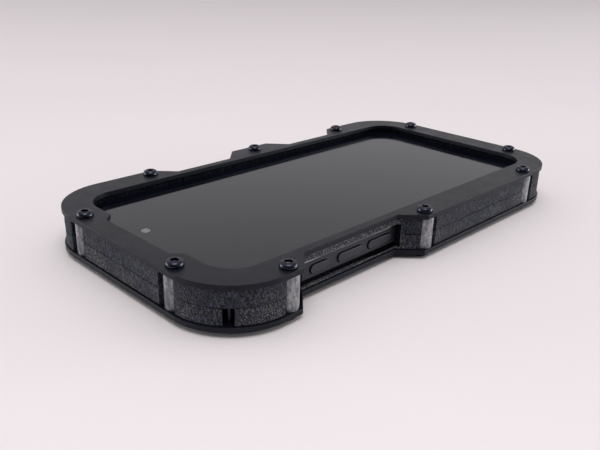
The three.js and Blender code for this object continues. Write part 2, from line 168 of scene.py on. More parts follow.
def window_outline(setback, steps=24):
    w, l, r = WINDOW_W / 2 + setback, WINDOW_L / 2 + setback, WINDOW_R + setback
    notch = NOTCH_HALF_W + setback * (math.sqrt(2) - 1)
    points = arc(w - r, l - r, r, 0, 90, steps)
    points += [(notch + NOTCH_DEPTH, l), (notch, l + NOTCH_DEPTH)]
    points += [(-notch, l + NOTCH_DEPTH), (-notch - NOTCH_DEPTH, l)]
    points += arc(-w + r, l - r, r, 90, 180, steps) + arc(-w + r, -l + r, r, 180, 270, steps)
    return points + arc(w - r, -l + r, r, 270, 360, steps)


def slot_outline(x, y, angle, half_width, reach, steps=16):
    shape = [(reach, -half_width), (reach, half_width)] + arc(0, 0, half_width, 90, 270, steps)
    c, s = math.cos(angle), math.sin(angle)
    return [(x + c * u - s * v, y + s * u + c * v) for u, v in shape]


def dense(loop, step):
    """The same closed outline with a point at least every step."""
    points = []
    for i, (x, y) in enumerate(loop):
        px, py = loop[i - 1]
        pieces = max(1, math.ceil(math.dist((x, y), (px, py)) / step))
        points += [(px + (x - px) * k / pieces, py + (y - py) * k / pieces) for k in range(1, pieces + 1)]
    return points


# ---------------------------------------------------------------- mesh tools
def link(name, mesh):
    made = bpy.data.objects.new(name, mesh)
    scene.collection.objects.link(made)
    return made


def smooth(obj, degrees=28):
    """Smooth shading with corners kept sharp, and normals that follow the larger faces."""
    obj.data.shade_smooth()
    obj.data.set_sharp_from_angle(angle=math.radians(degrees))
    mod = obj.modifiers.new("even_normals", "WEIGHTED_NORMAL")
    mod.keep_sharp = True
    mod.weight = 80
    return obj


def bake(obj):
    """Turns a curve, or a mesh with modifiers, into a plain welded mesh."""
    bpy.context.view_layer.update()
    graph = bpy.context.evaluated_depsgraph_get()
    mesh = bpy.data.meshes.new_from_object(obj.evaluated_get(graph))
    name = obj.name
    bpy.data.objects.remove(obj)
    work = bmesh.new()
    work.from_mesh(mesh)
    bmesh.ops.remove_doubles(work, verts=work.verts, dist=2e-6)
    bmesh.ops.recalc_face_normals(work, faces=work.faces)
    work.to_mesh(mesh)
    work.free()
    mesh.name = name
    return link(name, mesh)


def slab(name, loops, z0, z1, bevel=0.0, rounds=3):
    """A flat slab between two heights, with holes, and its rims rounded inside the stated outline."""
    data = bpy.data.curves.new(name, "CURVE")
    data.dimensions = "2D"
    data.fill_mode = "BOTH"
    data.extrude = ((z1 - z0) / 2 - bevel) * MM
    data.bevel_depth = bevel * MM
    data.bevel_resolution = rounds
    data.offset = -bevel * MM
    for loop in loops:
        clean = [p for i, p in enumerate(loop) if math.dist(p, loop[i - 1]) > 1e-4]
        spline = data.splines.new("POLY")
        spline.points.add(len(clean) - 1)
        for point, (x, y) in zip(spline.points, clean):
            point.co = (x * MM, y * MM, 0, 1)
        spline.use_cyclic_u = True
    obj = bpy.data.objects.new(name, data)
    scene.collection.objects.link(obj)
    obj = bake(obj)
    obj.data.transform(Matrix.Translation((0, 0, (z0 + z1) / 2 * MM)))
    return obj


def cut(obj, *cutters):
    """Takes the cutters out of obj, and removes them."""
    for cutter in cutters:
        mod = obj.modifiers.new("cut", "BOOLEAN")
        mod.operation = "DIFFERENCE"
        mod.solver = "EXACT"
        mod.object = cutter
    obj = bake(obj)
    for cutter in cutters:
        bpy.data.objects.remove(cutter)
    return obj


def lathe(name, profile, steps=64):
    """Turns (radius, z) points in mm about Z; a point on the axis becomes one vertex."""
    work = bmesh.new()
    rings = []
    for r, z in profile:
        if r < 1e-6:
            rings.append([work.verts.new((0, 0, z * MM))])
        else:
            rings.append([work.verts.new((x * MM, y * MM, z * MM)) for x, y in circle(0, 0, r, steps)])
    for a, b in zip(rings, rings[1:]):
        for i in range(steps):
            j = (i + 1) % steps
            face = [a[i % len(a)], a[j % len(a)], b[j % len(b)], b[i % len(b)]]
            face = [v for k, v in enumerate(face) if v not in face[:k]]
            if len(face) > 2:
                work.faces.new(face)
    bmesh.ops.remove_doubles(work, verts=work.verts, dist=1e-6)
    bmesh.ops.recalc_face_normals(work, faces=work.faces)
    mesh = bpy.data.meshes.new(name)
    work.to_mesh(mesh)
    work.free()
    return mesh


def turned(mesh, name, angle, flip=False):
    """A copy of a turned mesh, spun about its own axis and, if asked, with its head down."""
    made = mesh.copy()
    made.name = name
    made.transform(Matrix.Rotation(angle, 4, "Z"))
    if flip:
        made.transform(Matrix.Rotation(math.pi, 4, "X"))
    return made


def roughen(obj, z0, z1, depth_mm):
    """Knife-cut foam: bands the walls in height, then pulls their points inward by an even, fixed noise."""
    work = bmesh.new()
    work.from_mesh(obj.data)
    bands = 7
    for k in range(1, bands):
        level = (z0 + (z1 - z0) * k / bands) * MM
        geometry = work.verts[:] + work.edges[:] + work.faces[:]
        bmesh.ops.bisect_plane(work, geom=geometry, plane_co=(0, 0, level), plane_no=(0, 0, 1))
    work.normal_update()
    for v in work.verts:
        flat = Vector((v.normal.x, v.normal.y, 0))
        if flat.length < 0.3:
            continue
        p = v.co / MM
        wave = 0.5 + 0.5 * noise.noise(Vector((p.x * 0.9, p.y * 0.9, p.z * 0.55)))
        tear = max(0.0, noise.noise(Vector((p.x * 0.45 + 9, p.y * 0.45, p.z * 0.3)))) * 0.8
        rim = 1.0 + 0.9 * (abs(v.normal.z) > 0.2)
        v.co -= flat.normalized() * min(DEEPEST_TEAR, depth_mm * rim * (wave + tear)) * MM
    work.to_mesh(obj.data)
    work.free()
    return obj


def face_materials(obj, materials, choose):
    """Gives each face the material whose index choose(centre in mm, normal) returns."""
    obj.data.materials.clear()
    for material in materials:
        obj.data.materials.append(material)
    for face in obj.data.polygons:
        face.material_index = choose(face.center / MM, face.normal)
    return obj


def finish_piece(obj, material, body=ROOT, nodes=()):
    if material is not None:
        obj.data.materials.clear()
        obj.data.materials.append(material)
    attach(obj, body)
    if nodes:
        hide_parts(*nodes)
    return obj


# ---------------------------------------------------------------- material tools
class Mat:
    """A small builder for procedural materials. Object coordinates, scaled to millimetres."""

    def __init__(self, name, **shader):
        self.material = bpy.data.materials.new(name)
        self.material.use_nodes = True
        self.tree = self.material.node_tree
        self.shader = self.tree.nodes["Principled BSDF"]
        for socket, value in shader.items():
            self.shader.inputs[socket.replace("_", " ")].default_value = value
        coords = self.tree.nodes.new("ShaderNodeTexCoord")
        scaled = self.tree.nodes.new("ShaderNodeMapping")
        scaled.inputs["Scale"].default_value = (1000, 1000, 1000)
        self.tree.links.new(coords.outputs["Object"], scaled.inputs["Vector"])
        self.mm = scaled.outputs["Vector"]

    def node(self, kind, values=None, **settings):
        made = self.tree.nodes.new("ShaderNode" + kind)
        for key, value in settings.items():
            setattr(made, key, value)
        for key, value in (values or {}).items():
            if isinstance(value, bpy.types.NodeSocket):
                self.tree.links.new(value, made.inputs[key])
            else:
                made.inputs[key].default_value = value
        return made

    def stretch(self, x, y, z):
        return self.node("Mapping", {"Vector": self.mm, "Scale": (x, y, z)}).outputs["Vector"]

    def noise(self, scale, detail=3.0, rough=0.55, vector=None):
        values = {"Vector": vector or self.mm, "Scale": scale, "Detail": detail, "Roughness": rough}
        return self.node("TexNoise", values).outputs["Fac"]

    def cells(self, scale, vector=None, feature="F1"):
        values = {"Vector": vector or self.mm, "Scale": scale}
        return self.node("TexVoronoi", values, feature=feature).outputs["Distance"]

    def spread(self, value, low, high, to_low=0.0, to_high=1.0):
        values = {"Value": value, "From Min": low, "From Max": high, "To Min": to_low, "To Max": to_high}
        return self.node("MapRange", values).outputs["Result"]

    def math(self, operation, a, b=0.5):
        return self.node("Math", {0: a, 1: b}, operation=operation).outputs[0]

    def blend(self, factor, a, b):
        made = self.tree.nodes.new("ShaderNodeMix")
        made.data_type = "RGBA"
        for socket, value in ((made.inputs[0], factor), (made.inputs[6], a), (made.inputs[7], b)):
            if isinstance(value, bpy.types.NodeSocket):
                self.tree.links.new(value, socket)
            else:
                socket.default_value = value
        return made.outputs[2]

    def edges(self, low=0.25, high=0.9):
        """1 on faces that lean, such as the rounded rims of a flat plate, and 0 on flats and walls."""
        normal = self.node("NewGeometry").outputs["Normal"]
        lean = self.math("ABSOLUTE", self.node("SeparateXYZ", {0: normal}).outputs["Z"])
        up = self.spread(lean, low, low + 0.15)
        down = self.spread(lean, high - 0.1, high, 1.0, 0.0)
        return self.math("MULTIPLY", up, down)

    def bump(self, height, strength, distance_mm, base=None):
        values = {"Height": height, "Strength": strength, "Distance": distance_mm * MM}
        if base is not None:
            values["Normal"] = base
        return self.node("Bump", values).outputs["Normal"]

    def set(self, **links):
        for socket, value in links.items():
            self.tree.links.new(value, self.shader.inputs[socket.replace("_", " ")])
        return self.material


def grey(v, tint=0.0):
    """A grey of value v, turned towards a cool blue by tint."""
    return (v * (1 - tint * 0.45), v * (1 - tint * 0.20), v * (1 + tint), 1)


def plate_finish():
    m = Mat("plate_anodised_black", Specular_IOR_Level=0.20, IOR=1.5)
    cloud = m.noise(0.05, 4)
    grain = m.noise(7.0, 3)
    base = m.blend(m.spread(cloud, 0.3, 0.7), grey(0.0030, 0.8), grey(0.0055, 0.8))
    base = m.blend(m.spread(grain, 0.35, 0.75, 0.0, 0.4), base, grey(0.020, 0.40))
    dust = m.spread(m.cells(0.55), 0.03, 0.07, 1.0, 0.0)
    sparse = m.spread(m.noise(0.35, 2), 0.60, 0.66)
    base = m.blend(m.math("MULTIPLY", m.math("MULTIPLY", dust, sparse), 0.6), base, grey(0.30))
    worn = m.math("MULTIPLY", m.edges(), m.spread(m.noise(0.8, 5), 0.46, 0.74, 0.0, 0.6))
    base = m.blend(worn, base, grey(0.045, 0.20))
    rough = m.spread(m.noise(0.18, 5), 0.3, 0.7, 0.33, 0.42)
    return m.set(
        Base_Color=base, Roughness=rough,
        Normal=m.bump(grain, 0.25, 0.03, m.bump(m.noise(0.06, 2), 0.10, 0.4)),
    )


def cut_edge_painted_shade_finish():
    """The cut edge of a plate: darker than its face as painted shade, with fine lines along the cut and a few
    scuffs.
    """
    m = Mat("plate_cut_edge_painted_shade", Specular_IOR_Level=0.18, IOR=1.5)
    lines = m.noise(1.0, 4, 0.65, m.stretch(0.35, 0.35, 9.0))
    base = m.blend(m.spread(lines, 0.36, 0.66), grey(0.0030, 0.9), grey(0.0125, 0.7))
    scuff = m.spread(m.noise(0.9, 5, 0.7), 0.60, 0.72)
    base = m.blend(m.math("MULTIPLY", scuff, 0.55), base, grey(0.045, 0.3))
    return m.set(
        Base_Color=base, Roughness=m.spread(lines, 0.3, 0.7, 0.34, 0.58), Normal=m.bump(lines, 0.35, 0.05),
    )


def foam_finish(name, body, flecks, spread_out, z0, z1, gloss=0.22, fuzz=0.04):
    """Dense cut foam between two heights: torn cells about half a millimetre across, with pale crumbs."""
    m = Mat(name, Specular_IOR_Level=gloss, Sheen_Weight=fuzz, Sheen_Roughness=0.6)
    grain = m.noise(1.55, 3, 0.7)
    pores = m.cells(1.8)
    drag = m.noise(1.0, 3, 0.6, m.stretch(1.3, 1.3, 0.8))
    base = m.blend(m.spread(grain, 0.43, 0.58), grey(body * 0.05, 0.4), grey(body * 2.4, 0.42))
    base = m.blend(m.spread(drag, 0.54, 0.66, 0.0, 0.8), base, grey(body * 4.8, 0.34))
    base = m.blend(m.spread(pores, 0.05, 0.28, 0.85, 0.0), base, grey(body * 0.08, 0.2))
    base = m.blend(m.spread(m.noise(0.12, 3), 0.40, 0.62, 0.0, 0.35), base, grey(body * 0.7, 0.6))
    crumbs = m.spread(m.noise(2.5, 3, 0.7), 0.53, 0.66)
    patches = m.spread(m.noise(0.13, 2), 0.44, 0.58, spread_out, 1.0)
    crumbs = m.math("MULTIPLY", m.math("MULTIPLY", crumbs, patches), flecks)
    base = m.blend(crumbs, base, (0.32, 0.305, 0.27, 1))
    # the sheet's own edges, where it was cut or meets its neighbour, are ragged; a dark band along them is
    # part grime and part painted shade
    height = m.node("SeparateXYZ", {0: m.mm}).outputs["Z"]
    from_middle = m.math("ABSOLUTE", m.math("SUBTRACT", height, (z0 + z1) / 2))
    ragged = m.math("ADD", from_middle, m.math("MULTIPLY", m.noise(0.9, 3), 0.5))
    edge = (z1 - z0) / 2
    seam_shade_amount = m.spread(m.noise(0.045, 2), 0.40, 0.55, 0.35, 0.85)
    # the painted seam shade is faint round the lanyard corner, where the seam hardly shows
    toward = m.node("VectorMath", {0: m.mm, 1: (-0.707, 0.707, 0.0)}, operation="DOT_PRODUCT")
    seam_shade_amount = m.math("MULTIPLY", seam_shade_amount, m.spread(toward.outputs["Value"], 73.0, 77.0, 1.0, 0.2))
    seam_shade_and_grime = m.math("MULTIPLY", m.spread(ragged, edge - 0.06, edge + 0.16), seam_shade_amount)
    base = m.blend(seam_shade_and_grime, base, grey(body * 0.06))
    relief = m.math("ADD", grain, m.math("MULTIPLY", pores, 0.7))
    return m.set(
        Base_Color=base, Roughness=m.spread(grain, 0.3, 0.7, 0.62, 0.95), Normal=m.bump(relief, 1.0, 0.45),
    )


def standoff_finish():
    """Turned aluminium, tarnished in soft patches; the turning marks draw a highlight out along the axis."""
    m = Mat(
        "standoff_turned_aluminium", Metallic=1.0, Anisotropic=0.35, Anisotropic_Rotation=0.25,
        Coat_Weight=0.8, Coat_Roughness=0.25, Coat_IOR=1.7,
    )
    rings = m.noise(1.0, 4, 0.6, m.stretch(0.4, 0.4, 26.0))
    patina = m.noise(0.42, 4, 0.6, m.stretch(1.0, 1.0, 0.5))
    stain = m.noise(1.1, 4, 0.6)
    base = m.blend(m.spread(patina, 0.42, 0.58), (0.26, 0.265, 0.28, 1), (0.045, 0.054, 0.078, 1))
    base = m.blend(m.spread(stain, 0.48, 0.66, 0.0, 0.7), base, (0.030, 0.036, 0.052, 1))
    base = m.blend(m.spread(rings, 0.4, 0.7, 0.0, 0.18), base, (0.36, 0.365, 0.38, 1))
    turn = m.node("Tangent", direction_type="RADIAL", axis="Z").outputs["Tangent"]
    return m.set(
        Base_Color=base, Roughness=m.spread(stain, 0.35, 0.7, 0.42, 0.52), Tangent=turn,
        Normal=m.bump(rings, 0.12, 0.01),
    )


def screw_finish(name, value, rough_low):
    m = Mat(name, Metallic=1.0)
    grain = m.noise(7.0, 3)
    rings = m.noise(1.0, 3, 0.6, m.stretch(0.6, 0.6, 22.0))
    base = m.blend(m.spread(m.noise(1.1, 4), 0.36, 0.66), grey(value * 0.7, 0.28), grey(value * 1.4, 0.28))
    worn = m.spread(m.math("MULTIPLY", m.noise(2.2, 5), m.noise(0.7, 2)), 0.34, 0.50)
    base = m.blend(m.math("MULTIPLY", worn, 0.5), base, grey(value * 3.4, 0.2))
    return m.set(
        Base_Color=base, Roughness=m.spread(grain, 0.3, 0.7, rough_low, rough_low + 0.14),
        Normal=m.bump(grain, 0.10, 0.03, m.bump(rings, 0.10, 0.02)),
    )


def frame_finish(name, base_v, rough_low):
    m = Mat(name, Metallic=0.45, Specular_IOR_Level=0.4)
    blast = m.noise(11.0, 2)
    base = m.blend(m.spread(m.noise(0.15, 3), 0.3, 0.7), grey(base_v * 0.9, 0.22), grey(base_v * 1.15, 0.22))
    base = m.blend(m.spread(blast, 0.4, 0.7, 0.0, 0.3), base, grey(base_v * 1.6, 0.20))
    rough = m.spread(m.noise(0.6, 4), 0.3, 0.7, rough_low, rough_low + 0.12)
    return m.set(Base_Color=base, Roughness=rough, Normal=m.bump(blast, 0.15, 0.02))


def display_finish():
    m = Mat("display_glass_black", Specular_IOR_Level=0.37, IOR=1.5)
    smear = m.noise(0.05, 5, 0.6, m.stretch(1.0, 0.45, 1.0))
    base = m.blend(m.spread(smear, 0.35, 0.7), grey(0.0028, 0.8), grey(0.0058, 0.8))
    mote = m.spread(m.cells(0.30), 0.010, 0.030, 1.0, 0.0)
    mote = m.math("MULTIPLY", mote, m.spread(m.noise(0.2, 2), 0.55, 0.62))
    base = m.blend(m.math("MULTIPLY", mote, 0.6), base, grey(0.24))
    return m.set(Base_Color=base, Roughness=m.spread(smear, 0.3, 0.75, 0.045, 0.13))


def back_finish(name, base_v, rough_v):
    m = Mat(name, Specular_IOR_Level=0.5)
    frost = m.noise(12.0, 2)
    smear = m.noise(0.06, 5)
    base = m.blend(m.spread(smear, 0.35, 0.7), grey(base_v, 0.08), grey(base_v * 1.3, 0.08))
    return m.set(
        Base_Color=base, Roughness=m.spread(smear, 0.3, 0.7, rough_v, rough_v + 0.12),
        Normal=m.bump(frost, 0.08, 0.01),
    )


def ring_finish(name, base_v, tint, rough_low):
    m = Mat(name, Metallic=1.0)
    fine = m.noise(9.0, 3)
    base = m.blend(m.spread(fine, 0.35, 0.7), grey(base_v * 0.85, tint), grey(base_v * 1.15, tint))
    return m.set(Base_Color=base, Roughness=m.spread(fine, 0.3, 0.7, rough_low, rough_low + 0.1))


def rim_painted_highlight_finish():
    """The bright line along the upper round of the device, a painted highlight in brighter metal, bright in
    places and dull between.
    """
    m = Mat("device_frame_rim_painted_highlight", Metallic=1.0)
    fine = m.noise(9.0, 3)
    bright = m.spread(m.noise(0.055, 2), 0.42, 0.60)
    base = m.blend(bright, (0.10, 0.10, 0.105, 1), (0.42, 0.42, 0.43, 1))
    return m.set(Base_Color=base, Roughness=m.spread(fine, 0.3, 0.7, 0.24, 0.36))


def lens_finish(name, base, coat):
    m = Mat(name, Specular_IOR_Level=0.6, Coat_Weight=1.0, Coat_Roughness=0.02)
    tint = m.blend(m.spread(m.noise(0.35, 2), 0.35, 0.65), base, coat)
    return m.set(Base_Color=tint, Roughness=m.spread(m.noise(1.5, 3), 0.3, 0.7, 0.03, 0.08))


def flash_finish():
    m = Mat("flash_diffuser", Specular_IOR_Level=0.5)
    cells = m.cells(3.2)
    base = m.blend(m.spread(cells, 0.02, 0.22), (0.50, 0.42, 0.20, 1), (0.86, 0.82, 0.66, 1))
    rough = m.spread(cells, 0.0, 0.3, 0.2, 0.4)
    return m.set(Base_Color=base, Roughness=rough, Normal=m.bump(cells, 0.5, 0.08))


def grille_finish():
    m = Mat("grille_mesh", Metallic=0.5)
    holes = m.cells(2.8)
    base = m.blend(m.spread(holes, 0.10, 0.24), grey(0.004), grey(0.05, 0.1))
    rough = m.spread(holes, 0.1, 0.3, 0.7, 0.4)
    return m.set(Base_Color=base, Roughness=rough, Normal=m.bump(holes, 0.6, 0.1))


def tongue_finish():
    m = Mat("port_tongue_contacts", Specular_IOR_Level=0.5)
    across = m.node("SeparateXYZ", {0: m.mm}).outputs["X"]
    turn = m.math("FRACT", m.math("MULTIPLY", across, 1.7))
    stripe = m.spread(m.math("ABSOLUTE", m.math("SUBTRACT", turn, 0.5)), 0.2, 0.24)
    base = m.blend(stripe, grey(0.015), (0.62, 0.45, 0.16, 1))
    return m.set(Base_Color=base, Roughness=m.spread(m.noise(4.0, 3), 0.3, 0.7, 0.3, 0.5))


PLATE = plate_finish()
EDGE_PAINTED_SHADE = cut_edge_painted_shade_finish()
FOAM_UPPER = foam_finish("foam_upper_sheet", 0.019, 0.26, 0.15, UPPER_Z, FRONT_Z)
FOAM_LOWER = foam_finish("foam_lower_sheet", 0.019, 0.70, 0.20, LOWER_Z, UPPER_Z)
FOAM_RECESS = foam_finish("foam_cut_at_recess", 0.022, 1.0, 0.95, LOWER_Z - 1, FRONT_Z + 1)
# painted shade: near-black foam for the walls that the window frames and for the end walls of the side
# openings
FOAM_PAINTED_SHADE = foam_finish("foam_painted_shade_in_window", 0.004, 0.0, 0.0, LOWER_Z, FRONT_Z, gloss=0.05, fuzz=0.0)
STANDOFF = standoff_finish()
SCREW = screw_finish("screw_black_oxide", 0.040, 0.18)
PIN = screw_finish("lanyard_pin_steel", 0.055, 0.40)
FRAME = frame_finish("device_frame_satin", 0.028, 0.40)
RIM_PAINTED_HIGHLIGHT = rim_painted_highlight_finish()
# painted shade of the gap under the device, for its lower round and the back glass's rim:
# a dull black with a fine grain; its height range is wide, so that no dark edge line falls on it
UNDER_PAINTED_SHADE = foam_finish(
    "device_lower_round_painted_shade", 0.003, 0.0, 0.0, BACK_Z - 5, BACK_Z + 9, gloss=0.03, fuzz=0.0)
BUTTON = frame_finish("device_button_satin", 0.031, 0.38)
DISPLAY = display_finish()
BACK = back_finish("back_glass_frosted", 0.020, 0.42)
PLATEAU = back_finish("camera_plateau_gloss", 0.014, 0.12)
LENS_RING = ring_finish("lens_ring_metal", 0.16, 0.06, 0.22)
LENS_GLASS = lens_finish("lens_cover_glass", (0.004, 0.004, 0.007, 1), (0.008, 0.007, 0.020, 1))
LENS_IRIS = lens_finish("lens_inner_coating", (0.010, 0.014, 0.050, 1), (0.030, 0.012, 0.045, 1))
FRONT_LENS = ring_finish("front_camera_ring", 0.30, 0.02, 0.34)
FLASH = flash_finish()
GRILLE = grille_finish()
TONGUE = tongue_finish()


# ---------------------------------------------------------------- plates
def clearance_holes():
    return [circle(x, y, CLEARANCE_HOLE / 2, 24) for x, y in SCREWS]


def plate(name, hole, z0, z1, node):
    made = smooth(slab(name, [case_outline(0), hole, *clearance_holes()], z0, z1, PLATE_ROUND, 3))
    # the cut edges take the darker edge finish, whose darkness is painted shade
    face_materials(made, (PLATE, EDGE_PAINTED_SHADE), lambda at, normal: int(abs(normal.z) < 0.35))
    finish_piece(made, None, ROOT, [node])


plate("front_plate_fine", window_outline(0), FRONT_Z, TOP_Z, "front_plate")


def camera_opening(grow):
    return rounded_rect(CAMERA_W + 2 * grow, CAMERA_L + 2 * grow, CAMERA_R + grow, *CAMERA_AT)


plate("rear_plate_fine", camera_opening(CAMERA_CLEARANCE), REAR_Z, LOWER_Z, "rear_plate")


# ---------------------------------------------------------------- foam sheets
def outward(x, y):
    if abs(y) > 70:
        return math.copysign(math.pi / 2, y)
    return 0.0 if x > 0 else math.pi


def block(name, x0, x1, y0, y1, z0, z1):
    return slab(name, [[(x0, y0), (x1, y0), (x1, y1), (x0, y1)]], z0, z1)


# the strip of device side that a recess shows, and the reach of the shadow gap below it past the device
OPEN_LOW, OPEN_HIGH = 3.75, 11.15
GUTTER = 0.95


def foam_cutters():
    cutters = []
    for i, (x, y) in enumerate(SCREWS):
        slot = slot_outline(x, y, outward(x, y), SLOT_HALF_W, SLOT_REACH)
        cutters.append(slab(f"slot_{i}", [slot], CUT_LOW, CUT_HIGH))
    for side, recesses in ((-1, LEFT_RECESS), (1, RIGHT_RECESSES)):
        for low, high in recesses:
            y0, y1 = low + RECESS_DEPTH - WINDOW_OVERRUN, high - RECESS_DEPTH + WINDOW_OVERRUN
            x0, x1 = sorted((side * (DEVICE_W / 2 - 3), side * WIDTH / 2))
            cutters.append(block(f"strip_{len(cutters)}", x0, x1, y0, y1, OPEN_LOW, OPEN_HIGH))
            x0, x1 = sorted((side * (DEVICE_W / 2 - 3), side * (DEVICE_W / 2 + GUTTER)))
            cutters.append(block(f"gutter_{len(cutters)}", x0, x1, y0, y1, LOWER_Z + 0.15, OPEN_LOW + 0.2))
    half, outside, inside = PORT_WAY_W / 2, -LENGTH / 2 - 1, -DEVICE_L / 2 + 3
    cutters.append(block("port_way", -half, half, outside, inside, OPEN_LOW, PORT_WAY_HIGH))
    pocket = rounded_rect(DEVICE_W + 2 * POCKET_GAP, DEVICE_L + 2 * POCKET_GAP, DEVICE_R + POCKET_GAP)
    cutters.append(slab("pocket", [pocket], BACK_Z, GLASS_FRONT_Z))
    return cutters


foam_outline = dense(case_outline(FOAM_INSET), FOAM_STEP)
upper = slab("upper_foam_fine", [foam_outline], UPPER_Z, FRONT_Z, UPPER_FOAM_ROUND, 2)
roughen(upper, UPPER_Z, FRONT_Z, UPPER_TEAR)
upper = cut(upper, *foam_cutters(), slab("lip", [window_outline(LIP_SETBACK)], UPPER_Z - 1, FRONT_Z + 1))


def foam_part(at, normal):
    """0 for the outside of a sheet, 1 for the cut faces in a side recess, 2 for the near-black painted shade
    on what the window frames and on the end walls of the side openings."""
    spans = LEFT_RECESS if at.x < 0 else RIGHT_RECESSES
    if abs(at.x) < WINDOW_W / 2 + 1.0 and abs(at.y) < WINDOW_L / 2 + NOTCH_DEPTH + 1.0:
        return 2
    if not any(low < at.y < high for low, high in spans):
        return 0
    if OPEN_LOW < at.z < OPEN_HIGH and abs(normal.y) > 0.97:
        return 2
    return int(abs(at.x) < WIDTH / 2 - RECESS_DEPTH + 1.0)


def finish_foam(obj, material, node):
    face_materials(smooth(obj), (material, FOAM_RECESS, FOAM_PAINTED_SHADE), foam_part)
    finish_piece(obj, None, ROOT, [node])


finish_foam(upper, FOAM_UPPER, "upper_foam")

corner_x, corner_y = -WIDTH / 2 + CORNER_R, LENGTH / 2 - CORNER_R
post_x = corner_x + LANYARD_POST_AT * math.cos(LANYARD_ANGLE)
post_y = corner_y + LANYARD_POST_AT * math.sin(LANYARD_ANGLE)
lower = slab("lower_foam_fine", [foam_outline], LOWER_Z, UPPER_Z, LOWER_FOAM_ROUND, 2)
roughen(lower, LOWER_Z, UPPER_Z, LOWER_TEAR)
lanyard_way = slot_outline(post_x, post_y, LANYARD_ANGLE, LANYARD_SLOT_W / 2, LANYARD_REACH)
lower = cut(
    lower, *foam_cutters(),
    slab("camera_way", [camera_opening(CAMERA_CLEARANCE + LIP_SETBACK)], CUT_LOW, CAMERA_WAY_TOP),
    slab("lanyard_way", [lanyard_way], CUT_LOW, LANYARD_WAY_TOP),
    slab("lanyard_pocket", [circle(post_x, post_y, LANYARD_POCKET_R)], CUT_LOW, LANYARD_WAY_TOP),
)
finish_foam(lower, FOAM_LOWER, "lower_foam")

pin = link("lanyard_post_fine", lathe("lanyard_post_fine", [
    (0, 3.0), (PIN_R - 0.1, 3.0), (PIN_R, 3.1), (PIN_R, 5.5), (PIN_R, 7.9), (PIN_R - 0.1, 8.0), (0, 8.0)], 32))
pin.location = (post_x * MM, post_y * MM, 0)
finish_piece(smooth(pin), PIN, ROOT, ["lanyard_post"])

# ---------------------------------------------------------------- standoffs and screws
R, BORE = STANDOFF_D / 2, STANDOFF_BORE / 2
standoff_mesh = lathe("standoff", [
    (BORE, 0.2), (BORE + 0.2, 0), (R - 0.2, 0), (R - 0.08, 0.05), (R, 0.22), (R, 2.5), (R, 5.0), (R, 7.5),
    (R, 9.78), (R - 0.08, 9.95), (R - 0.2, 10), (BORE + 0.2, 10), (BORE, 9.8), (BORE, 0.2)], 72)


def screw_mesh():
    """Button head with a hex socket, head up, its underside at z = 0; plain shank below."""
    steps = 48
    work = bmesh.new()

    def ring(radius_at, z):
        made = []
        for i in range(steps):
            t = 2 * math.pi * i / steps
            r = radius_at(t) if callable(radius_at) else radius_at
            made.append(work.verts.new((r * MM * math.cos(t), r * MM * math.sin(t), z * MM)))
        return made

    def hexagon(scale):
        return lambda t: scale * SOCKET_AF / 2 / math.cos((t % (math.pi / 3)) - math.pi / 6)

    head, crown, shank = HEAD_D / 2, 1.34, SHANK_D / 2
    rings = [ring(shank - 0.25, -SHANK_LEN), ring(shank, -SHANK_LEN + 0.25), ring(shank, -0.02)]
    rings += [ring(shank + 0.02, 0), ring(head - 0.12, 0), ring(head - 0.03, 0.05), ring(head, 0.16)]
    for k in range(1, 12):
        t = math.radians(90 * k / 12)
        rings.append(ring(crown + (head - crown) * math.cos(t), 0.16 + (HEAD_H - 0.16) * math.sin(t)))
    rings += [ring(crown, HEAD_H), ring(hexagon(1.07), HEAD_H), ring(hexagon(1.01), HEAD_H - 0.07)]
    rings += [ring(hexagon(1.0), HEAD_H - 0.14), ring(hexagon(1.0), HEAD_H - SOCKET_DEPTH + 0.1)]
    rings += [ring(hexagon(0.9), HEAD_H - SOCKET_DEPTH)]
    for a, b in zip(rings, rings[1:]):
        for i in range(steps):
            j = (i + 1) % steps
            work.faces.new((a[i], a[j], b[j], b[i]))
    work.faces.new(list(reversed(rings[0])))
    tip = work.verts.new((0, 0, (HEAD_H - SOCKET_DEPTH - 0.25) * MM))
    for i in range(steps):
        work.faces.new((rings[-1][i], rings[-1][(i + 1) % steps], tip))
    bmesh.ops.recalc_face_normals(work, faces=work.faces)
    mesh = bpy.data.meshes.new("button_screw")
    work.to_mesh(mesh)
    work.free()
    return mesh


fastener_mesh = screw_mesh()
for number, (x, y) in enumerate(SCREWS, 1):
    turn = number - 1
    tube = link(f"standoff_{number}_fine", turned(standoff_mesh, f"standoff_{number}", 1.9 * turn))
    tube.location = (x * MM, y * MM, LOWER_Z * MM)
    finish_piece(smooth(tube), STANDOFF, ROOT, [f"standoff_{number}"])
    for end, z, flip, spin in (("front", TOP_Z, False, 0.7), ("rear", REAR_Z, True, 1.1)):
        name = f"{end}_screw_{number}_fine"
        made = link(name, turned(fastener_mesh, name, math.pi / 6 + spin * turn, flip))
        made.location = (x * MM, y * MM, z * MM)
        finish_piece(smooth(made), SCREW, ROOT, [f"{end}_screw_{number}"])


# ---------------------------------------------------------------- device
def pill(name, side, outer_x, y, length, height, depth, bevel=0.0, rounds=4):
    """A pill standing on edge: its face looks along the side, and its length runs along Y."""
    made = slab(name, [rounded_rect(length, height, height / 2 - 0.001, steps=12)], 0, depth, bevel, rounds)
    # local x runs along Y, local y along Z, and local z outward from the side
    turn = Matrix(((0, 0, side, 0), (1, 0, 0, 0), (0, 1, 0, 0), (0, 0, 0, 1)))
    made.data.transform(turn)
    made.data.transform(Matrix.Translation((side * (outer_x - depth) * MM, y * MM, BUTTON_Z * MM)))
    if turn.determinant() < 0:
        made.data.flip_normals()
    return made


FRAME_Z, FRAME_TOP = BACK_Z + GLASS_T, GLASS_FRONT_Z - GLASS_T
